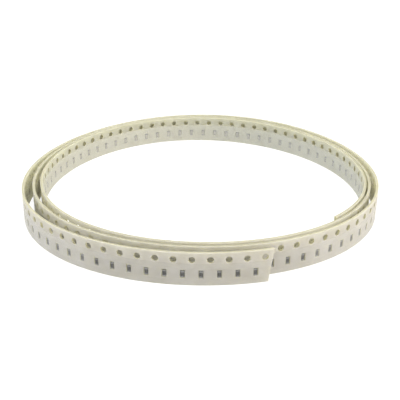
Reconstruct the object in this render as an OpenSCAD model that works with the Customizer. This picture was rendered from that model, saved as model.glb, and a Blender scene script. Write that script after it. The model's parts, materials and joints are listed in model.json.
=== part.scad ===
// Component carrier tape, left in a loose coil that stands on its edge.
// A punched paper strip carries one chip resistor in each pocket. A clear film closes
// the pockets on the outer face, and a milky film closes them on the inner face.

/* [Strip] */
// Width of the paper strip, which is the coil's height
strip_w = 8; // [7.5:0.5:12]
// Thickness of the paper
paper_t = 0.6; // [0.55:0.05:0.9]
// Number of pockets along the strip
pocket_count = 214; // [60:1:214]
// Step from pocket to pocket, and from sprocket hole to sprocket hole
pitch = 4; // [3.5:0.1:4]
// Length of paper from the outer cut to the first sprocket hole
lead = 2; // [1.8:0.1:2.4]
// Length of paper from the last pocket to the inner cut
tail = 1.2; // [0.8:0.1:2]
// Slant of the outer cut, in degrees
cut_slant = 7.5; // [0:0.5:8]

/* [Sprocket holes] */
// Diameter of a sprocket hole
hole_d = 1.5; // [1:0.1:1.6]
// Distance from the strip's upper edge to the middle of the holes
hole_edge = 1.75; // [1.2:0.05:2]

/* [Pockets] */
// Distance from the row of holes down to the row of pockets
pocket_row = 3.5; // [3.2:0.1:4]
// Width of a pocket, along the strip
pocket_w = 1.1; // [1:0.05:1.3]
// Height of a pocket, across the strip
pocket_h = 1.9; // [1.8:0.05:2.2]

/* [Cover films] */
// Thickness of the clear film on the outer face
outer_film_t = 0.06; // [0.04:0.01:0.1]
// Thickness of the milky film on the inner face
inner_film_t = 0.06; // [0.04:0.01:0.1]
// Paper left bare between the strip's lower edge and the films
film_edge = 0.1; // [0.05:0.05:0.5]
// Paper left bare between the films and the sprocket holes
film_clear = 0.1; // [0.05:0.05:0.5]

/* [Chip resistors] */
// Length of a chip, across the strip
chip_l = 1.6; // [1.4:0.05:1.75]
// Width of a chip, along the strip
chip_w = 0.8; // [0.6:0.05:0.95]
// Thickness of a chip
chip_t = 0.45; // [0.3:0.05:0.5]
// Length of the plated band at each end of a chip
band_l = 0.3; // [0.2:0.05:0.4]
// Thickness of the plating, and of the dark coat between the bands
plate_t = 0.03; // [0.02:0.01:0.05]

/* [Clearances] */
// Gap between a chip and the pocket's lower edge
chip_rest = 0.03; // [0.01:0.01:0.08]
// Gap between a chip and the film behind it
chip_back = 0.02; // [0.01:0.01:0.05]

/* [Coil] */
// Bend radius of the strip at the outer end
bend_r = 49.7; // [46:0.1:60]
// Clear gap between the outermost turns
turn_gap = 2.01; // [1.9:0.01:3]
// How much that gap closes with each turn inward
gap_close = 0.56; // [0.4:0.01:0.62]
// How far the outer end stands out past its bend radius
end_out = 0.7; // [0:0.1:3]
// Place of the outer end round the coil, in degrees
end_at = -72.2; // [-75:0.1:-70]
// How far the strip turns outward at its outer end, in degrees
end_flare = 1.5; // [1:0.1:2.5]

/* [Hidden] */
// A loose coil isn't round, so its bend radius swings. Each row gives how often it swings
// in a turn, its share of bend_r and its direction at the outer end, and how both change
// with each turn.
swings = [
    [1, -0.01, -46, 0.0064, 85],
    [2, 0.0642, -17, -0.002, 11.5],
    [3, 0.171, -89.5, -0.0325, 2.3],
];
// Chips that share a node
group_chips = 18;
$fn = 48;

stack_t = paper_t + outer_film_t + inner_film_t;
hole_z = strip_w - hole_edge;
pocket_z = hole_z - pocket_row;
film_w = hole_z - hole_d / 2 - film_clear - film_edge;
chip_z = pocket_z - pocket_h / 2 + chip_rest;
turn_l = 2 * PI * bend_r;
// How far a punch passes the paper, which is less than a film's thickness
punch_over = min(outer_film_t, inner_film_t) / 2;
// Strip that the outer cut takes off at its upper corner
end_trim = 0.1;

// Punched paper bends in short flats, and each flat holds one hole or one pocket
flat_l = pitch / 2;
flat_count = 2 * pocket_count + 1;
function flat_length(i) = i == 0 ? end_trim + lead - flat_l / 2
    : i < flat_count - 1 ? flat_l : flat_l / 2 + tail;
function flat_start(i) = i == 0 ? 0 : flat_length(0) + (i - 1) * flat_l;

// Bend radius at t turns from the outer end, where the strip faces the direction a
function bend(t, a) =
    bend_r - (stack_t + turn_gap) * t + gap_close / 2 * t * t
    + bend_r * add([for (w = swings) (w[1] + w[3] * t) * cos(w[0] * (a - w[2] - w[4] * t))]);
function add(v, i = 0) = i < len(v) ? v[i] + add(v, i + 1) : 0;
function toward(a) = [cos(a), sin(a)];

// The flats follow each other clockwise from the outer end, along the middle of the paper.
// Each keeps its number, the direction that it faces, and the place where it starts.
function next_flat(w) = [
    w[0] + 1,
    w[1] - flat_l / bend((flat_start(w[0]) + flat_length(w[0]) / 2) / turn_l, w[1]) * 180 / PI,
    w[2] + flat_length(w[0]) * toward(w[1] - 90),
];
first_flat = [0, end_at - end_flare, (bend_r + end_out) * toward(end_at)];
flats = [for (w = first_flat; w[0] <= flat_count; w = next_flat(w)) w];

// The line that runs beside the middle of the paper, off away on the outer side
function beside(off) = [
    for (i = [0 : flat_count])
    let (a = flats[max(0, i - 1)][1], b = flats[min(flat_count - 1, i)][1])
    flats[i][2] + off / cos((a - b) / 2) * toward((a + b) / 2)
];

// The middle of the coil's outline, which is put at the origin
outer_line = beside(paper_t / 2 + outer_film_t);
xs = [for (p = outer_line) p[0]];
ys = [for (p = outer_line) p[1]];
middle = [min(xs) + max(xs), min(ys) + max(ys)] / 2;

// Puts a shape on flat i, n along from its start: mid paper is X = 0, X points outward
module on_flat(i, n) {
    translate(flats[i][2] + n * toward(flats[i][1] - 90) - middle) rotate(flats[i][1]) children();
}

// A band that follows the whole strip, from off to off + t beside the middle of the paper
module band(off, t, z, h) {
    inner = beside(off);
    outer = beside(off + t);
    translate([-middle[0], -middle[1], z]) linear_extrude(h)
        polygon(concat(inner, [for (i = [flat_count : -1 : 0]) outer[i]]));
}

// The slanted cut at the outer end, which leaves the upper corner longest
module outer_cut() {
    over = stack_t / 2;
    top = strip_w + over;
    on_flat(0, end_trim) rotate([90, 0, 90]) linear_extrude(stack_t + 2 * over, center = true)
        polygon([[over * tan(cut_slant), top], [-top * tan(cut_slant), -over], [lead, -over], [lead, top]]);
}

module sprocket_hole(k) {
    on_flat(2 * k + 1, flat_l / 2) translate([0, 0, hole_z]) rotate([0, 90, 0])
        cylinder(d = hole_d, h = paper_t + 2 * punch_over, center = true);
}

module pocket(k) {
    on_flat(2 * k + 2, flat_l / 2) translate([0, 0, pocket_z])
        cube([paper_t + 2 * punch_over, pocket_w, pocket_h], center = true);
}

module film(off, t) {
    difference() {
        band(off, t, film_edge, film_w);
        outer_cut();
    }
}

// Puts a shape at chip k: its back is at X = 0 and its lower end at Z = 0
module in_pocket(k) {
    on_flat(2 * k + 2, flat_l / 2) translate([chip_back - paper_t / 2, 0, chip_z]) children();
}

module chip_ceramic() {
    translate([plate_t, -chip_w / 2, plate_t])
        cube([chip_t - 2 * plate_t, chip_w, chip_l - 2 * plate_t]);
}

module chip_coat() {
    translate([chip_t - plate_t, -chip_w / 2, band_l])
        cube([plate_t, chip_w, chip_l - 2 * band_l]);
}

module chip_bands() {
    for (z = [0, chip_l - band_l]) difference() {
        translate([0, -chip_w / 2, z]) cube([chip_t, chip_w, band_l]);
        chip_ceramic();
    }
}

// Chips are grouped along the strip, counted from the outer end
group_count = ceil(pocket_count / group_chips);
function group_range(g) = [(g - 1) * group_chips : min(g * group_chips, pocket_count) - 1];
function numbered(name, g) = str(name, g < 10 ? "_0" : "_", g);

module carrier_tape() {
    color("#dcd8cd") difference() {
        band(-paper_t / 2, paper_t, 0, strip_w);
        for (k = [0 : pocket_count - 1]) {
            sprocket_hole(k);
            pocket(k);
        }
        outer_cut();
    }
}

module outer_cover_film() {
    color("#f4f4f2", 0.35) film(paper_t / 2, outer_film_t);
}

module inner_cover_film() {
    color("#e6e4dc", 0.7) film(-paper_t / 2 - inner_film_t, inner_film_t);
}

module chip_bodies(g) {
    color("#efece4") for (k = group_range(g)) in_pocket(k) chip_ceramic();
}

module chip_coats(g) {
    color("#2b2c2e") for (k = group_range(g)) in_pocket(k) chip_coat();
}

module chip_ends(g) {
    color("#b9bcc0") for (k = group_range(g)) in_pocket(k) chip_bands();
}

carrier_tape();
outer_cover_film();
inner_cover_film();
for (g = [1 : group_count]) {
    chip_bodies(g);
    chip_coats(g);
    chip_ends(g);
}
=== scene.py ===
import json
import math

import bmesh
import bpy
from mathutils import Matrix, Vector

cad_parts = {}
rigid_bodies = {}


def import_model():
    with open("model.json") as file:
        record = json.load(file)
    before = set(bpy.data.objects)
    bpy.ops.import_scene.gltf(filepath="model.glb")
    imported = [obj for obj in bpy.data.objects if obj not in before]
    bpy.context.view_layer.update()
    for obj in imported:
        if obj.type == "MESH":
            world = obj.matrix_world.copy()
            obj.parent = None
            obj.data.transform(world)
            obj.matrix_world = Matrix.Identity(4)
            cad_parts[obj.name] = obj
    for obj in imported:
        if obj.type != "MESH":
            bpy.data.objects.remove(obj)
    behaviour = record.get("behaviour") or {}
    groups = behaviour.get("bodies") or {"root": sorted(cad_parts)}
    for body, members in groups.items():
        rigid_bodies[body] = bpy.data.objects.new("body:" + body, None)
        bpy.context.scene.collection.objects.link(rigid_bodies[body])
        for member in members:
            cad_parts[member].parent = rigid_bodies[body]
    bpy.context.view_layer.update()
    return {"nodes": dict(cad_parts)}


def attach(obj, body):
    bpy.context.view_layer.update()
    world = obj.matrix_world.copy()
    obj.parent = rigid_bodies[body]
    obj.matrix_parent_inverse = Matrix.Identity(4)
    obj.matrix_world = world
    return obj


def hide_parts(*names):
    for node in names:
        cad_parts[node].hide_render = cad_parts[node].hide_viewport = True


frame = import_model()
print("frame loaded:", len(frame["nodes"]), "nodes")

mm = 0.001

# The strip as it is punched, in millimetres. s runs along it from the outer cut, and z runs
# across it from the lower edge.
strip = {
    "width": 8.0,
    "thickness": 0.6,
    "pockets": 214,
    "pitch": 4.0,
    "lead": 2.0,
    "tail": 1.2,
    "trim": 0.1,
    "cutSlant": 7.5,
    "holeRadius": 0.75,
    "holeHeight": 6.25,
    "pocketWidth": 1.1,
    "pocketHeight": 1.9,
    "pocketMiddle": 2.75,
    "pocketCorner": 0.12,
    "edgeRound": 0.05,
}

# The loose coil, in millimetres and degrees: its bend radius shrinks from turn to turn and
# swings one, two and three times a turn.
coil = {
    "bendRadius": 49.7,
    # the paper with its films, and the gap between the first two turns
    "turnStep": 0.72 + 2.01,
    "gapClose": 0.56,
    "endOut": 0.7,
    "endAt": -72.2,
    "endFlare": 1.5,
    # times a turn, share of the radius, peak, and the changes of share and peak with each turn
    "swings": [
        (1, -0.01, -46, 0.0064, 85),
        (2, 0.0642, -17, -0.002, 11.5),
        (3, 0.171, -89.5, -0.0325, 2.3),
    ],
    # from the middle of the paper to the outside of the cover film
    "outerFace": 0.36,
}


def toward(degrees):
    return Vector((math.cos(math.radians(degrees)), math.sin(math.radians(degrees)), 0))


def bendRadius(turn, facing):
    radius = coil["bendRadius"] - coil["turnStep"] * turn + coil["gapClose"] / 2 * turn ** 2
    for times, share, peak, shareStep, peakStep in coil["swings"]:
        angle = times * (facing - peak - peakStep * turn)
        radius += coil["bendRadius"] * (share + shareStep * turn) * math.cos(math.radians(angle))
    return radius


def coilPoints():
    # one point at each crease of the strip, half a pitch apart
    flat = strip["pitch"] / 2
    lengths = [strip["trim"] + strip["lead"] - flat / 2]
    lengths += [flat] * (2 * strip["pockets"] - 1) + [flat / 2 + strip["tail"]]
    turnLength = 2 * math.pi * coil["bendRadius"]
    facing = coil["endAt"] - coil["endFlare"]
    spot = (coil["bendRadius"] + coil["endOut"]) * toward(coil["endAt"])
    points, facings, start = [spot], [], 0
    for length in lengths:
        facings.append(facing)
        spot = spot + length * toward(facing - 90)
        points.append(spot)
        # the bend at a crease goes with the full flats on both sides of it
        middle = start + length / 2
        facing -= math.degrees(flat / bendRadius(middle / turnLength, facing))
        start += length
    outline = []
    for i, point in enumerate(points):
        before, after = facings[max(0, i - 1)], facings[min(len(facings) - 1, i)]
        spread = math.cos(math.radians((before - after) / 2))
        outline.append(point + coil["outerFace"] / spread * toward((before + after) / 2))
    middle = Vector((
        (min(p.x for p in outline) + max(p.x for p in outline)) / 2,
        (min(p.y for p in outline) + max(p.y for p in outline)) / 2,
        0,
    ))
    return [point - middle for point in points]


def linear(code):
    # sRGB hex to linear RGBA
    channels = [int(code[i:i + 2], 16) / 255 for i in (1, 3, 5)]
    return tuple(c / 12.92 if c <= 0.04045 else ((c + 0.055) / 1.055) ** 2.4 for c in channels) + (1,)


def addNode(tree, kind, inputs=None, **settings):
    # inputs maps a socket's name or number to a value, to the socket that feeds it, or to a
    # node, which feeds it from its first output
    node = tree.nodes.new(kind)
    for name, value in settings.items():
        setattr(node, name, value)
    for key, value in (inputs or {}).items():
        if isinstance(value, bpy.types.Node):
            value = value.outputs[0]
        if isinstance(value, bpy.types.NodeSocket):
            tree.links.new(value, node.inputs[key])
        else:
            node.inputs[key].default_value = value
    return node


# ---- Camera, floor and light ----

# place in millimetres, angles in degrees, and the shift as shares of the picture's width
camera = {
    "place": (-2.13, -179.33, 77.89),
    "yaw": -0.252,
    "pitch": -24.005,
    "roll": 0.35,
    "lens": 61.9,
    "shift": (0.0091, -0.0004),
}


def makeCamera():
    data = bpy.data.cameras.new("camera")
    data.lens = camera["lens"]
    data.sensor_width = 36
    data.shift_x, data.shift_y = camera["shift"]
    data.clip_start = 0.01
    eye = bpy.data.objects.new("camera", data)
    yaw = Matrix.Rotation(math.radians(camera["yaw"]), 4, "Z")
    pitch = Matrix.Rotation(math.radians(90 + camera["pitch"]), 4, "X")
    roll = Matrix.Rotation(math.radians(camera["roll"]), 4, "Z")
    eye.matrix_world = Matrix.Translation(Vector(camera["place"]) * mm) @ yaw @ pitch @ roll
    bpy.context.scene.collection.objects.link(eye)
    bpy.context.scene.camera = eye


makeCamera()
bpy.context.scene.view_settings.view_transform = "Standard"

studio = {
    "floorSize": 3.0,
    "floorColour": "#d6d5d0",
    "floorWhite": 0.7,
    "floorGlow": 1.25,
    "skyStrength": 0.8,
    "skyColour": "#fffdf8",
    # name, place in metres, size in metres, watts, colour
    "lamps": [
        ("overhead", (-0.05, -0.1, 0.8), 0.5, 4.1, "#fffefc"),
        ("left", (-0.8, -0.15, 0.45), 0.5, 2.9, "#f1f5ff"),
        ("right", (0.8, -0.35, 0.4), 0.5, 5.5, "#fff6ea"),
    ],
}


def seenDirectly(tree):
    # 1 for rays from the camera, and for those that gloss or clear film passes on
    ray = addNode(tree, "ShaderNodeLightPath").outputs
    either = addNode(tree, "ShaderNodeMath", {0: ray["Is Camera Ray"], 1: ray["Is Glossy Ray"]},
                     operation="MAXIMUM")
    return addNode(tree, "ShaderNodeMath", {0: either, 1: ray["Is Transmission Ray"]},
                   operation="MAXIMUM")


def makeFloor():
    size = studio["floorSize"] / 2
    mesh = bpy.data.meshes.new("floor")
    mesh.from_pydata([(-size, -size, 0), (size, -size, 0), (size, size, 0), (-size, size, 0)],
                     [], [(0, 1, 2, 3)])
    floor = bpy.data.objects.new("floor", mesh)
    bpy.context.scene.collection.objects.link(floor)
    material = bpy.data.materials.new("whitePaperSweep")
    material.use_nodes = True
    tree = material.node_tree
    tree.nodes.clear()
    card = addNode(tree, "ShaderNodeBsdfDiffuse", {"Color": linear(studio["floorColour"])})
    white = addNode(tree, "ShaderNodeEmission", {"Color": (1, 1, 1, 1), "Strength": studio["floorGlow"]})
    share = addNode(tree, "ShaderNodeMath", {0: seenDirectly(tree), 1: studio["floorWhite"]},
                    operation="MULTIPLY")
    mix = addNode(tree, "ShaderNodeMixShader", {0: share, 1: card, 2: white})
    addNode(tree, "ShaderNodeOutputMaterial", {"Surface": mix})
    floor.data.materials.append(material)


def makeSky():
    world = bpy.data.worlds.new("studio")
    world.use_nodes = True
    tree = world.node_tree
    tree.nodes.clear()
    soft = addNode(tree, "ShaderNodeBackground", {"Color": linear(studio["skyColour"]),
                                                  "Strength": studio["skyStrength"]})
    white = addNode(tree, "ShaderNodeBackground", {"Color": (1, 1, 1, 1), "Strength": 1.0})
    mix = addNode(tree, "ShaderNodeMixShader", {0: seenDirectly(tree), 1: soft, 2: white})
    addNode(tree, "ShaderNodeOutputWorld", {"Surface": mix})
    bpy.context.scene.world = world


def makeLamps():
    for name, place, size, watts, colour in studio["lamps"]:
        data = bpy.data.lights.new(name, "AREA")
        data.size = size
        data.energy = watts
        data.color = linear(colour)[:3]
        lamp = bpy.data.objects.new(name, data)
        lamp.location = place
        lamp.rotation_euler = (-Vector(place)).to_track_quat("-Z", "Y").to_euler()
        bpy.context.scene.collection.objects.link(lamp)


makeFloor()
makeSky()
makeLamps()
print("camera, floor and light ready")


# ---- The path, and the trees that lay things along it ----

def makePath():
    points = coilPoints()
    curve = bpy.data.curves.new("tapePath", "CURVE")
    curve.dimensions = "3D"
    line = curve.splines.new("POLY")
    line.points.add(len(points) - 1)
    for knot, point in zip(line.points, points):
        knot.co = (*(point * mm), 1)
    path = bpy.data.objects.new("tapePath", curve)
    bpy.context.scene.collection.objects.link(path)
    return path


def placeOnPath(tree, path, along):
    # where the strip is at that length, and which way is outward there
    curve = addNode(tree, "GeometryNodeObjectInfo", {"Object": path}).outputs["Geometry"]
    smooth = addNode(tree, "GeometryNodeCurveSplineType", {"Curve": curve}, spline_type="CATMULL_ROM")
    spot = addNode(tree, "GeometryNodeSampleCurve", {"Curves": smooth, "Length": along},
                   mode="LENGTH").outputs
    outward = addNode(tree, "ShaderNodeVectorMath", {0: (0, 0, 1), 1: spot["Tangent"]},
                      operation="CROSS_PRODUCT")
    return spot["Position"], outward


def lineOfSteps(tree, given):
    # one point at each pitch, from the first place on
    first = addNode(tree, "ShaderNodeCombineXYZ", {"X": given["First"]})
    step = addNode(tree, "ShaderNodeCombineXYZ", {"X": given["Step"]})
    return addNode(tree, "GeometryNodeMeshLine",
                   {"Count": given["Count"], "Start Location": first, "Offset": step}, mode="OFFSET")


def openTree(name, sockets):
    tree = bpy.data.node_groups.new(name, "GeometryNodeTree")
    for label, kind in sockets.items():
        tree.interface.new_socket(name=label, in_out="INPUT", socket_type="NodeSocket" + kind)
    tree.interface.new_socket(name="Geometry", in_out="OUTPUT", socket_type="NodeSocketGeometry")
    return tree, addNode(tree, "NodeGroupInput").outputs


# A tile is one pitch long and reaches a quarter of a pitch before the hole's middle, so that its
# ends lie at creases. Its edges, rows, openings and creases are cut into these numbers of steps.
tilePlan = {"before": 0.25, "edgeSteps": 8, "rows": 6, "holeSides": 28, "cornerSteps": 3, "creases": 4}

# millimetres within which points are one, and the fold in degrees from which an edge is crisp
bandMaking = {"tileWeld": 0.01, "sideWeld": 0.005, "endReach": 0.1, "crispFold": 30}


def bandTree():
    # repeats a flat tile, closes it to a band of some thickness, and bends the band along the path
    tree, given = openTree("bandAlongPath", {
        "Tile": "Object", "Path": "Object", "Count": "Int", "Step": "Float", "First": "Float",
        "Inner Face": "Float", "Thickness": "Float", "Edge Round": "Float", "Band Top": "Float",
        "Slant": "Float", "Cut": "Float", "Last": "Float", "Material": "Material",
    })
    pattern = addNode(tree, "GeometryNodeObjectInfo", {"Object": given["Tile"]}).outputs["Geometry"]
    tiles = addNode(tree, "GeometryNodeInstanceOnPoints",
                    {"Points": lineOfSteps(tree, given), "Instance": pattern})
    real = addNode(tree, "GeometryNodeRealizeInstances", {0: tiles})
    joined = addNode(tree, "GeometryNodeMergeByDistance",
                     {"Geometry": real, "Distance": bandMaking["tileWeld"] * mm})
    # both ends: a slanted cut at the start, a square one at the end
    here = addNode(tree, "GeometryNodeInputPosition")
    at = addNode(tree, "ShaderNodeSeparateXYZ", {0: here}).outputs
    startEdge = addNode(tree, "ShaderNodeMath",
                        {0: given["Step"], 1: -tilePlan["before"], 2: given["First"]},
                        operation="MULTIPLY_ADD")
    nearStart = addNode(tree, "ShaderNodeMath", {0: startEdge, 1: bandMaking["endReach"] * mm},
                        operation="ADD")
    atStart = addNode(tree, "FunctionNodeCompare", {0: at["X"], 1: nearStart}, operation="LESS_THAN")
    drop = addNode(tree, "ShaderNodeMath", {0: given["Band Top"], 1: at["Z"]}, operation="SUBTRACT")
    cutLine = addNode(tree, "ShaderNodeMath", {0: drop, 1: given["Slant"], 2: given["Cut"]},
                      operation="MULTIPLY_ADD")
    cutPlace = addNode(tree, "ShaderNodeCombineXYZ", {"X": cutLine, "Y": at["Y"], "Z": at["Z"]})
    cut = addNode(tree, "GeometryNodeSetPosition",
                  {"Geometry": joined, "Selection": atStart, "Position": cutPlace})
    endEdge = addNode(tree, "ShaderNodeMath", {0: given["Step"], 1: given["Count"], 2: startEdge},
                      operation="MULTIPLY_ADD")
    nearEnd = addNode(tree, "ShaderNodeMath", {0: endEdge, 1: bandMaking["endReach"] * mm},
                      operation="SUBTRACT")
    atEnd = addNode(tree, "FunctionNodeCompare", {0: at["X"], 1: nearEnd}, operation="GREATER_THAN")
    endPlace = addNode(tree, "ShaderNodeCombineXYZ", {"X": given["Last"], "Y": at["Y"], "Z": at["Z"]})
    sheet = addNode(tree, "GeometryNodeSetPosition",
                    {"Geometry": cut, "Selection": atEnd, "Position": endPlace})
    # thickness: the sheet is pulled outward, and a turned copy closes its back
    outer = addNode(tree, "GeometryNodeExtrudeMesh",
                    {"Mesh": sheet, "Offset": (0, 1, 0), "Offset Scale": given["Thickness"],
                     "Individual": False}, mode="FACES")
    back = addNode(tree, "GeometryNodeFlipFaces", {"Mesh": sheet})
    both = addNode(tree, "GeometryNodeJoinGeometry", {0: outer})
    tree.links.new(back.outputs[0], both.inputs[0])
    solid = addNode(tree, "GeometryNodeMergeByDistance",
                    {"Geometry": both, "Distance": bandMaking["sideWeld"] * mm})
    # rounding: the outline's points move a little towards the middle of the thickness
    rim = addNode(tree, "GeometryNodeInputNamedAttribute", {"Name": "rim"}, data_type="FLOAT")
    middle = addNode(tree, "ShaderNodeMath", {0: given["Thickness"], 1: 0.5}, operation="MULTIPLY")
    inward = addNode(tree, "ShaderNodeMath", {0: middle, 1: at["Y"]}, operation="SUBTRACT")
    side = addNode(tree, "ShaderNodeMath", {0: inward}, operation="SIGN")
    sideRim = addNode(tree, "ShaderNodeMath", {0: side, 1: rim}, operation="MULTIPLY")
    softening = addNode(tree, "ShaderNodeMath", {0: sideRim, 1: given["Edge Round"]}, operation="MULTIPLY")
    offset = addNode(tree, "ShaderNodeCombineXYZ", {"Y": softening})
    rounded = addNode(tree, "GeometryNodeSetPosition", {"Geometry": solid, "Offset": offset})
    kept = addNode(tree, "GeometryNodeStoreNamedAttribute",
                   {"Geometry": rounded, "Name": "unrolled", "Value": here},
                   data_type="FLOAT_VECTOR", domain="POINT")
    # the bend
    spot, outward = placeOnPath(tree, given["Path"], at["X"])
    depth = addNode(tree, "ShaderNodeMath", {0: at["Y"], 1: given["Inner Face"]}, operation="ADD")
    across = addNode(tree, "ShaderNodeVectorMath", {0: outward, "Scale": depth}, operation="SCALE")
    height = addNode(tree, "ShaderNodeCombineXYZ", {"Z": at["Z"]})
    raised = addNode(tree, "ShaderNodeVectorMath", {0: spot, 1: height}, operation="ADD")
    bent = addNode(tree, "ShaderNodeVectorMath", {0: raised, 1: across}, operation="ADD")
    coiled = addNode(tree, "GeometryNodeSetPosition", {"Geometry": kept, "Position": bent})
    # soft shading, with every sharp fold kept crisp
    smooth = addNode(tree, "GeometryNodeSetShadeSmooth", {"Geometry": coiled}, domain="FACE")
    fold = addNode(tree, "GeometryNodeInputMeshEdgeAngle")
    crisp = addNode(tree, "FunctionNodeCompare", {0: fold, 1: math.radians(bandMaking["crispFold"])},
                    operation="GREATER_THAN")
    shaded = addNode(tree, "GeometryNodeSetShadeSmooth",
                     {"Geometry": smooth, "Selection": crisp, "Shade Smooth": False}, domain="EDGE")
    done = addNode(tree, "GeometryNodeSetMaterial", {"Geometry": shaded, "Material": given["Material"]})
    addNode(tree, "NodeGroupOutput", {0: done})
    return tree


def chipTree():
    # stands one piece of each chip in each pocket, a hair out of line as loose parts lie
    tree, given = openTree("chipsAlongPath", {
        "Piece": "Object", "Path": "Object", "Count": "Int", "Step": "Float", "First": "Float",
        "Back": "Float", "Lower End": "Float", "Play": "Float", "Tilt": "Float", "Seed": "Int",
        "Material": "Material",
    })
    piece = addNode(tree, "GeometryNodeObjectInfo", {"Object": given["Piece"]}).outputs["Geometry"]
    line = lineOfSteps(tree, given)
    here = addNode(tree, "GeometryNodeInputPosition")
    along = addNode(tree, "ShaderNodeSeparateXYZ", {0: here}).outputs["X"]
    otherSeed = addNode(tree, "ShaderNodeMath", {0: given["Seed"], 1: 1}, operation="ADD")
    shift = addNode(tree, "FunctionNodeRandomValue", {2: -1.0, 3: 1.0, "Seed": given["Seed"]}).outputs[1]
    lean = addNode(tree, "FunctionNodeRandomValue", {2: -1.0, 3: 1.0, "Seed": otherSeed}).outputs[1]
    slid = addNode(tree, "ShaderNodeMath", {0: shift, 1: given["Play"], 2: along},
                   operation="MULTIPLY_ADD")
    spot, outward = placeOnPath(tree, given["Path"], slid)
    across = addNode(tree, "ShaderNodeVectorMath", {0: outward, "Scale": given["Back"]}, operation="SCALE")
    height = addNode(tree, "ShaderNodeCombineXYZ", {"Z": given["Lower End"]})
    raised = addNode(tree, "ShaderNodeVectorMath", {0: spot, 1: height}, operation="ADD")
    place = addNode(tree, "ShaderNodeVectorMath", {0: raised, 1: across}, operation="ADD")
    # the way outward is kept before the points move
    facing = addNode(tree, "GeometryNodeCaptureAttribute", {"Geometry": line}, domain="POINT")
    facing.capture_items.new("VECTOR", "outward")
    tree.links.new(outward.outputs[0], facing.inputs[1])
    moved = addNode(tree, "GeometryNodeSetPosition", {"Geometry": facing, "Position": place})
    upright = addNode(tree, "FunctionNodeAxesToRotation",
                      {"Primary Axis": facing.outputs[1], "Secondary Axis": (0, 0, 1)},
                      primary_axis="X", secondary_axis="Z")
    angle = addNode(tree, "ShaderNodeMath", {0: lean, 1: given["Tilt"]}, operation="MULTIPLY")
    tilt = addNode(tree, "FunctionNodeAxisAngleToRotation", {"Axis": (1, 0, 0), "Angle": angle})
    turned = addNode(tree, "FunctionNodeRotateRotation", {0: upright, 1: tilt}, rotation_space="LOCAL")
    chips = addNode(tree, "GeometryNodeInstanceOnPoints",
                    {"Points": moved, "Instance": piece, "Rotation": turned})
    real = addNode(tree, "GeometryNodeRealizeInstances", {0: chips})
    done = addNode(tree, "GeometryNodeSetMaterial", {"Geometry": real, "Material": given["Material"]})
    addNode(tree, "NodeGroupOutput", {0: done})
    return tree


def grow(name, tree, values):
    # runs a tree once and keeps its result as a plain mesh
    holder = bpy.data.objects.new(name, bpy.data.meshes.new(name + "Seed"))
    bpy.context.scene.collection.objects.link(holder)
    modifier = holder.modifiers.new(name, "NODES")
    modifier.node_group = tree
    for item in tree.interface.items_tree:
        if item.in_out == "INPUT":
            modifier[item.identifier] = values[item.name]
    bpy.context.view_layer.update()
    graph = bpy.context.evaluated_depsgraph_get()
    mesh = bpy.data.meshes.new_from_object(holder.evaluated_get(graph), preserve_all_data_layers=True,
                                           depsgraph=graph)
    holder.modifiers.remove(modifier)
    holder.data = mesh
    mesh.name = name
    print(name, "has", len(mesh.polygons), "faces")
    return holder


def hiddenObject(name, mesh):
    # a pattern piece for a tree, which isn't part of the object
    pattern = bpy.data.objects.new(name, mesh)
    bpy.context.scene.collection.objects.link(pattern)
    return pattern


tapePath = makePath()
bands = bandTree()
chips = chipTree()
seatedLead = strip["trim"] + strip["lead"]
stripEnd = seatedLead + strip["pitch"] * strip["pockets"] - strip["pitch"] / 2 + strip["tail"]
print("path and trees ready")


# ---- Flat pattern pieces, one pitch long, with the hole's middle at s = 0 ----

def roundedBox(width, height, corner, corners):
    # points of a box with round corners about its middle, counterclockwise
    points = []
    for k, (x, z) in enumerate([(1, 1), (-1, 1), (-1, -1), (1, -1)]):
        for step in range(corners + 1):
            angle = math.pi / 2 * (k + step / corners)
            points.append((x * (width / 2 - corner) + corner * math.cos(angle),
                           z * (height / 2 - corner) + corner * math.sin(angle)))
    return points


def roundOpening(radius, sides):
    angles = [2 * math.pi * (k + 0.5) / sides for k in range(sides)]
    return [(radius * math.cos(a), radius * math.sin(a)) for a in angles]


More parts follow.
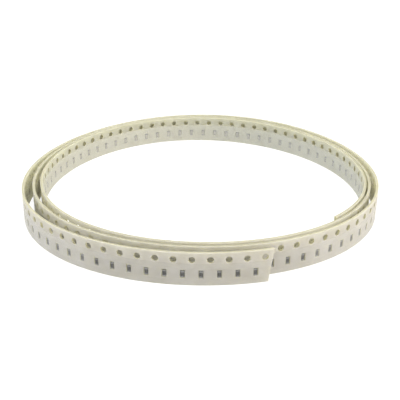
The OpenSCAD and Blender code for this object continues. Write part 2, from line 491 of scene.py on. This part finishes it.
def flatTile(name, bottom, top, openings, rim):
    # openings: middle (s, z), outline, and the same outline a rim's width larger
    mesh = bmesh.new()
    rimLayer = mesh.verts.layers.float.new("rim")
    pitch = strip["pitch"]
    left, right = -pitch * tilePlan["before"], pitch * (1 - tilePlan["before"])
    steps = tilePlan["edgeSteps"]

    def point(s, z, soft=0.0):
        vertex = mesh.verts.new((s * mm, 0, z * mm))
        vertex[rimLayer] = soft
        return vertex

    # edge rows: the outline itself is rounded, and the row beside it isn't
    columns = [left + (right - left) * k / steps for k in range(steps + 1)]
    for z, inner in ((bottom, bottom + rim), (top, top - rim)):
        outlineRow = [point(s, z, 1.0) for s in columns]
        innerRow = [point(s, inner) for s in columns]
        for k in range(steps):
            quad = (outlineRow[k], outlineRow[k + 1], innerRow[k + 1], innerRow[k])
            mesh.faces.new(quad if z == bottom else quad[::-1])
    for (s0, z0), outline, wide in openings:
        ring = [point(s0 + s, z0 + z, 1.0) for s, z in outline]
        around = [point(s0 + s, z0 + z) for s, z in wide]
        for k in range(len(ring)):
            after = (k + 1) % len(ring)
            mesh.faces.new((ring[k], ring[after], around[after], around[k])[::-1])
    # side edges, then fill what is left
    rows = tilePlan["rows"]
    low, high = bottom + rim, top - rim
    for s in (left, right):
        column = [point(s, low + (high - low) * k / rows) for k in range(rows + 1)]
        for a, b in zip(column, column[1:]):
            mesh.edges.new((a, b))
    bmesh.ops.remove_doubles(mesh, verts=mesh.verts, dist=1e-6)
    outlineEdges = []
    for edge in mesh.edges:
        loose = not edge.link_faces
        rimSide = len(edge.link_faces) == 1 and all(v[rimLayer] == 0 for v in edge.verts)
        atEnd = any(all(abs(v.co.x - end * mm) < 1e-7 for v in edge.verts) for end in (left, right))
        if loose or rimSide and not atEnd:
            outlineEdges.append(edge)
    bmesh.ops.triangle_fill(mesh, use_beauty=True, use_dissolve=False, edges=outlineEdges,
                            normal=(0, 1, 0))
    # creases across the tile let it follow the bend
    for k in range(1, tilePlan["creases"]):
        crease = left + pitch * k / tilePlan["creases"]
        bmesh.ops.bisect_plane(mesh, geom=list(mesh.verts) + list(mesh.edges) + list(mesh.faces),
                               dist=1e-7, plane_co=(crease * mm, 0, 0), plane_no=(1, 0, 0))
    for face in mesh.faces:
        if face.normal.y < 0:
            face.normal_flip()
    data = bpy.data.meshes.new(name)
    mesh.to_mesh(data)
    mesh.free()
    return hiddenObject(name, data)


def paperTile():
    rim = strip["edgeRound"]
    hole = (0, strip["holeHeight"])
    pocket = (strip["pitch"] / 2, strip["pocketMiddle"])
    width, height, corner = strip["pocketWidth"], strip["pocketHeight"], strip["pocketCorner"]
    radius, sides, corners = strip["holeRadius"], tilePlan["holeSides"], tilePlan["cornerSteps"]
    return flatTile("punchedTile", 0, strip["width"], [
        (hole, roundOpening(radius, sides), roundOpening(radius + rim, sides)),
        (pocket, roundedBox(width, height, corner, corners),
         roundedBox(width + 2 * rim, height + 2 * rim, corner + rim, corners)),
    ], rim)


# the films, in millimetres: they lie a hair off the paper, so that the two never share a face
film = {"thickness": 0.045, "gap": 0.012, "bottom": 0.1, "top": 5.4, "edge": 0.05}


def filmTile():
    return flatTile("filmTile", film["bottom"], film["top"], [], film["edge"])


# A chip, in millimetres, and how it lies in its pocket: rest above the pocket's floor, back off
# the inner film, play along the strip, and tilt in degrees.
chip = {
    "length": 1.6, "width": 0.8, "thickness": 0.45, "band": 0.3, "plate": 0.03,
    "bodyEdge": 0.01, "coatInset": 0.01, "coatEdge": 0.012, "endRound": 0.05,
    "rest": 0.03, "back": 0.02, "play": 0.05, "tilt": 2.0, "seed": 4,
}


def beveledBlock(name, low, high, edge):
    mesh = bmesh.new()
    bmesh.ops.create_cube(mesh, size=1)
    for vertex in mesh.verts:
        vertex.co = Vector([(a + b) / 2 + (b - a) * c for a, b, c in zip(low, high, vertex.co)]) * mm
    bmesh.ops.bevel(mesh, geom=list(mesh.edges), offset=edge * mm, segments=1, affect="EDGES")
    data = bpy.data.meshes.new(name)
    mesh.to_mesh(data)
    mesh.free()
    return hiddenObject(name, data)


def chipBodyPiece():
    plate, half = chip["plate"], chip["width"] / 2
    return beveledBlock("chipBodyPiece", (plate, -half, plate),
                        (chip["thickness"] - plate, half, chip["length"] - plate), chip["bodyEdge"])


def chipCoatPiece():
    half = chip["width"] / 2 - chip["coatInset"]
    return beveledBlock("chipCoatPiece", (chip["thickness"] - chip["plate"], -half, chip["band"]),
                        (chip["thickness"], half, chip["length"] - chip["band"]), chip["coatEdge"])


def chipEndsPiece():
    # each end is plated round its front, end and back, with soft outer corners
    mesh = bmesh.new()
    thick, plate, band, half = chip["thickness"], chip["plate"], chip["band"], chip["width"] / 2
    soft, arc = chip["endRound"], (math.pi / 6, math.pi / 3)
    outer = [(0, band), (0, soft)]
    outer += [(soft - soft * math.cos(a), soft - soft * math.sin(a)) for a in arc]
    outer += [(soft, 0), (thick - soft, 0)]
    outer += [(thick - soft + soft * math.sin(a), soft - soft * math.cos(a)) for a in arc]
    outer += [(thick, soft), (thick, band)]
    inner = [(thick - plate, band), (thick - plate, plate), (plate, plate), (plate, band)]
    profile = outer + inner
    for turned in (False, True):
        rows = []
        for y in (-half, half):
            rows.append([mesh.verts.new(Vector((x, y, chip["length"] - z if turned else z)) * mm)
                         for x, z in profile])
        for k in range(len(profile)):
            after = (k + 1) % len(profile)
            mesh.faces.new((rows[0][k], rows[0][after], rows[1][after], rows[1][k]))
        mesh.faces.new(rows[0])
        mesh.faces.new(rows[1][::-1])
    bmesh.ops.recalc_face_normals(mesh, faces=mesh.faces)
    data = bpy.data.meshes.new("chipEndsPiece")
    mesh.to_mesh(data)
    mesh.free()
    return hiddenObject("chipEndsPiece", data)


# ---- Materials ----

def openMaterial(name):
    material = bpy.data.materials.new(name)
    material.use_nodes = True
    tree = material.node_tree
    tree.nodes.clear()
    return material, tree


def closeMaterial(tree, shader):
    addNode(tree, "ShaderNodeOutputMaterial", {"Surface": shader.outputs[0]})


def onStrip(tree, stretch=(1, 1, 1)):
    # a place on the unrolled strip, where 1 is a millimetre before the stretch: X along the
    # strip, Y from its inner face outward, Z up from its lower edge
    where = addNode(tree, "ShaderNodeAttribute", attribute_name="unrolled", attribute_type="GEOMETRY")
    scaled = addNode(tree, "ShaderNodeVectorMath",
                     {0: where.outputs["Vector"], 1: tuple(s / mm for s in stretch)}, operation="MULTIPLY")
    return scaled.outputs[0]


paperLook = {
    "outerSide": "#cfced3",
    "innerSide": "#cdcfc7",
    "cutEdge": "#b5b4a5",
    "cloudShade": "#eeedea",
    "roughness": 0.85,
    "gloss": 0.3,
    # millimetres from either face between which its colour gives way to the cut edge's
    "skin": (0.02, 0.05),
    # clouds and fibres, in waves a millimetre, and how the two mix
    "cloud": 0.35,
    "fibre": 3.0,
    "fibreStretch": (0.4, 1, 1.2),
    "fibreShare": 0.4,
    "contrast": (0.35, 0.65),
    "bump": 0.25,
    "bumpHeight": 0.02,
    # how deep light goes, in millimetres and by colour, and how much comes through
    "depth": 1.0,
    "depthColour": (1.0, 0.98, 0.8),
    "through": 0.36,
    "throughColour": "#faf6d4",
}


def paperMaterial():
    # bleached kraft board: matt, faintly cloudy, with short fibres along the strip. Its cut edges
    # are yellower than its faces, and it lets some warm light through.
    material, tree = openMaterial("bleachedKraftBoard")
    look = paperLook
    depth = addNode(tree, "ShaderNodeSeparateXYZ", {0: onStrip(tree)}).outputs["Y"]
    thin, thick = look["skin"]
    offInner = addNode(tree, "ShaderNodeMapRange", {"Value": depth, "From Min": thin, "From Max": thick})
    nearOuter = addNode(tree, "ShaderNodeMapRange", {
        "Value": depth, "From Min": strip["thickness"] - thick, "From Max": strip["thickness"] - thin,
    })
    inside = addNode(tree, "ShaderNodeMix", {
        0: offInner, 6: linear(look["innerSide"]), 7: linear(look["cutEdge"]),
    }, data_type="RGBA")
    board = addNode(tree, "ShaderNodeMix", {
        0: nearOuter, 6: inside.outputs[2], 7: linear(look["outerSide"]),
    }, data_type="RGBA")
    cloud = addNode(tree, "ShaderNodeTexNoise", {"Vector": onStrip(tree), "Scale": look["cloud"],
                                                 "Detail": 3.0})
    fibre = addNode(tree, "ShaderNodeTexNoise", {
        "Vector": onStrip(tree, look["fibreStretch"]), "Scale": look["fibre"], "Detail": 4.0,
        "Roughness": 0.6,
    })
    both = addNode(tree, "ShaderNodeMix", {0: look["fibreShare"], 2: cloud, 3: fibre})
    faint, strong = look["contrast"]
    patches = addNode(tree, "ShaderNodeMapRange", {"Value": both, "From Min": faint, "From Max": strong})
    colour = addNode(tree, "ShaderNodeMix", {
        0: patches, 6: board.outputs[2], 7: linear(look["cloudShade"]),
    }, data_type="RGBA", blend_type="MULTIPLY")
    bump = addNode(tree, "ShaderNodeBump", {"Height": fibre, "Strength": look["bump"],
                                            "Distance": look["bumpHeight"] * mm})
    sheet = addNode(tree, "ShaderNodeBsdfPrincipled", {
        "Base Color": colour.outputs[2], "Roughness": look["roughness"],
        "Specular IOR Level": look["gloss"], "Subsurface Weight": 1.0,
        "Subsurface Radius": look["depthColour"], "Subsurface Scale": look["depth"] * mm,
        "Normal": bump,
    })
    glow = addNode(tree, "ShaderNodeBsdfTranslucent", {"Color": linear(look["throughColour"])})
    lit = addNode(tree, "ShaderNodeMixShader", {0: look["through"], 1: sheet, 2: glow})
    closeMaterial(tree, lit)
    return material


clearFilmLook = {
    "colour": "#e6e6e2", "roughness": 0.18, "bending": 1.6,
    # the haze that rises at grazing angles is partly real haze, partly painted sheen
    "haze": 0.03, "grazingHazeAndSheen": 0.12, "grazing": 0.25,
    # the sealed tracks' haze, and the distances in millimetres over which it sets in
    "trackHaze": 0.03, "trackFrom": 1.2, "trackFull": 1.5,
}


def clearFilmMaterial():
    # polyester cover tape: clear and glossy, hazier in the two sealed tracks beside the pockets, and
    # hazier at grazing angles, which is partly painted sheen
    material, tree = openMaterial("clearPolyesterFilm")
    look = clearFilmLook
    height = addNode(tree, "ShaderNodeSeparateXYZ", {0: onStrip(tree)}).outputs["Z"]
    above = addNode(tree, "ShaderNodeMath", {0: height, 1: strip["pocketMiddle"]}, operation="SUBTRACT")
    fromPocket = addNode(tree, "ShaderNodeMath", {0: above}, operation="ABSOLUTE")
    track = addNode(tree, "ShaderNodeMapRange", {
        "Value": fromPocket, "From Min": look["trackFrom"], "From Max": look["trackFull"],
        "To Min": look["haze"], "To Max": look["haze"] + look["trackHaze"],
    })
    # at grazing angles the film shows more of its own pale colour: partly real haze, partly painted sheen
    # standing in for the film's reflection
    facing = addNode(tree, "ShaderNodeLayerWeight", {"Blend": look["grazing"]}).outputs["Fresnel"]
    cover = addNode(tree, "ShaderNodeMath", {0: facing, 1: look["grazingHazeAndSheen"], 2: track},
                    operation="MULTIPLY_ADD")
    sheet = addNode(tree, "ShaderNodeBsdfPrincipled", {
        "Base Color": linear(look["colour"]), "Roughness": look["roughness"], "IOR": look["bending"],
        "Alpha": cover,
    })
    closeMaterial(tree, sheet)
    return material


milkyFilmLook = {
    "colour": "#f2f3ef", "roughness": 0.42, "haze": 0.12,
    # the haze's grain, in waves a millimetre and drawn out along the strip
    "grain": 0.06, "grainScale": 1.2, "grainStretch": (0.5, 1, 1),
}


def milkyFilmMaterial():
    # heat-sealed bottom tape: a milky, satin film that the chips show through faintly
    material, tree = openMaterial("milkySealFilm")
    look = milkyFilmLook
    grain = addNode(tree, "ShaderNodeTexNoise", {
        "Vector": onStrip(tree, look["grainStretch"]), "Scale": look["grainScale"], "Detail": 3.0,
    })
    cover = addNode(tree, "ShaderNodeMath", {0: grain, 1: look["grain"], 2: look["haze"]},
                    operation="MULTIPLY_ADD")
    sheet = addNode(tree, "ShaderNodeBsdfPrincipled", {
        "Base Color": linear(look["colour"]), "Roughness": look["roughness"], "Alpha": cover,
    })
    closeMaterial(tree, sheet)
    return material


def speckle(tree, perMillimetre, detail):
    # fine noise on the object itself, with that many waves a millimetre
    where = addNode(tree, "ShaderNodeTexCoord").outputs["Object"]
    return addNode(tree, "ShaderNodeTexNoise", {"Vector": where, "Scale": perMillimetre / mm,
                                                "Detail": detail}).outputs[0]


def speckledMaterial(name, look):
    material, tree = openMaterial(name)
    colour = addNode(tree, "ShaderNodeMix", {
        0: speckle(tree, look["specks"], 2.0), 6: linear(look["dark"]), 7: linear(look["light"]),
    }, data_type="RGBA")
    body = addNode(tree, "ShaderNodeBsdfPrincipled", {"Base Color": colour.outputs[2],
                                                      "Roughness": look["roughness"]})
    closeMaterial(tree, body)
    return material


# fired alumina, dull and faintly speckled, seen at the chips' backs and cut sides. Its grey is painted
# shade: the white ceramic is darkened to stand in for the shade of the pocket behind the milky film
pocketShadedCeramicLook = {"dark": "#87857c", "light": "#9d9b92", "roughness": 0.6, "specks": 9}

# dark resin over the resistor layer: charcoal, half gloss, a little uneven
coatLook = {"dark": "#2a2a2c", "light": "#3b3c3e", "roughness": 0.38, "specks": 6}

# matt tin over nickel, a slightly rough metal. Its dark grey is painted shade: the bright tin is darkened
# to stand in for the shade in the pockets
pocketShadedPlatingLook = {"colour": "#8e8f90", "roughness": (0.32, 0.5), "specks": 12}


def pocketShadedPlatingMaterial():
    # the plating's colour is painted pocket shade, not the tin's own
    material, tree = openMaterial("mattTinInPaintedShade")
    smoothest, roughest = pocketShadedPlatingLook["roughness"]
    rough = addNode(tree, "ShaderNodeMapRange", {
        "Value": speckle(tree, pocketShadedPlatingLook["specks"], 3.0), "To Min": smoothest, "To Max": roughest,
    })
    metal = addNode(tree, "ShaderNodeBsdfPrincipled", {
        "Base Color": linear(pocketShadedPlatingLook["colour"]), "Metallic": 1.0, "Roughness": rough.outputs[0],
    })
    closeMaterial(tree, metal)
    return material


# ---- The pieces ----

def layBand(name, tile, innerFace, thickness, edgeRound, material):
    slant = math.tan(math.radians(strip["cutSlant"]))
    return grow(name, bands, {
        "Tile": tile, "Path": tapePath, "Count": strip["pockets"], "Step": strip["pitch"] * mm,
        "First": seatedLead * mm, "Inner Face": innerFace * mm,
        "Thickness": thickness * mm, "Edge Round": edgeRound * mm, "Band Top": strip["width"] * mm,
        "Slant": slant, "Cut": strip["trim"] * mm, "Last": stripEnd * mm, "Material": material,
    })


halfPaper = strip["thickness"] / 2
paper = layBand("paperStrip", paperTile(), -halfPaper, strip["thickness"], strip["edgeRound"] * 0.8,
                paperMaterial())
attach(paper, "root")
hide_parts("carrier_tape")

filmPattern = filmTile()
outerFilm = layBand("clearCoverFilm", filmPattern, halfPaper + film["gap"], film["thickness"], 0.0,
                    clearFilmMaterial())
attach(outerFilm, "root")
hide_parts("outer_cover_film")

innerFilm = layBand("milkyCoverFilm", filmPattern, -halfPaper - film["gap"] - film["thickness"],
                    film["thickness"], 0.0, milkyFilmMaterial())
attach(innerFilm, "root")
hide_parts("inner_cover_film")


def standChips(name, piece, material, nodes):
    lowerEnd = strip["pocketMiddle"] - strip["pocketHeight"] / 2 + chip["rest"]
    group = grow(name, chips, {
        "Piece": piece, "Path": tapePath, "Count": strip["pockets"], "Step": strip["pitch"] * mm,
        "First": (seatedLead + strip["pitch"] / 2) * mm, "Back": (chip["back"] - halfPaper) * mm,
        "Lower End": lowerEnd * mm, "Play": chip["play"] * mm, "Tilt": math.radians(chip["tilt"]),
        "Seed": chip["seed"], "Material": material,
    })
    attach(group, "root")
    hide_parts(*[node for node in sorted(frame["nodes"]) if node.startswith(nodes)])


# the chip bodies' grey is painted pocket shade
standChips("chipBodies", chipBodyPiece(), speckledMaterial("firedAluminaInPaintedShade", pocketShadedCeramicLook),
           "chip_bodies")
standChips("chipCoats", chipCoatPiece(), speckledMaterial("blackResinCoat", coatLook),
           "chip_coats")
standChips("chipEnds", chipEndsPiece(), pocketShadedPlatingMaterial(), "chip_ends")

# the patterns and the path have done their work
for pattern in [o for o in bpy.context.scene.objects if o.name.endswith(("Tile", "Piece", "Path"))]:
    bpy.data.objects.remove(pattern)
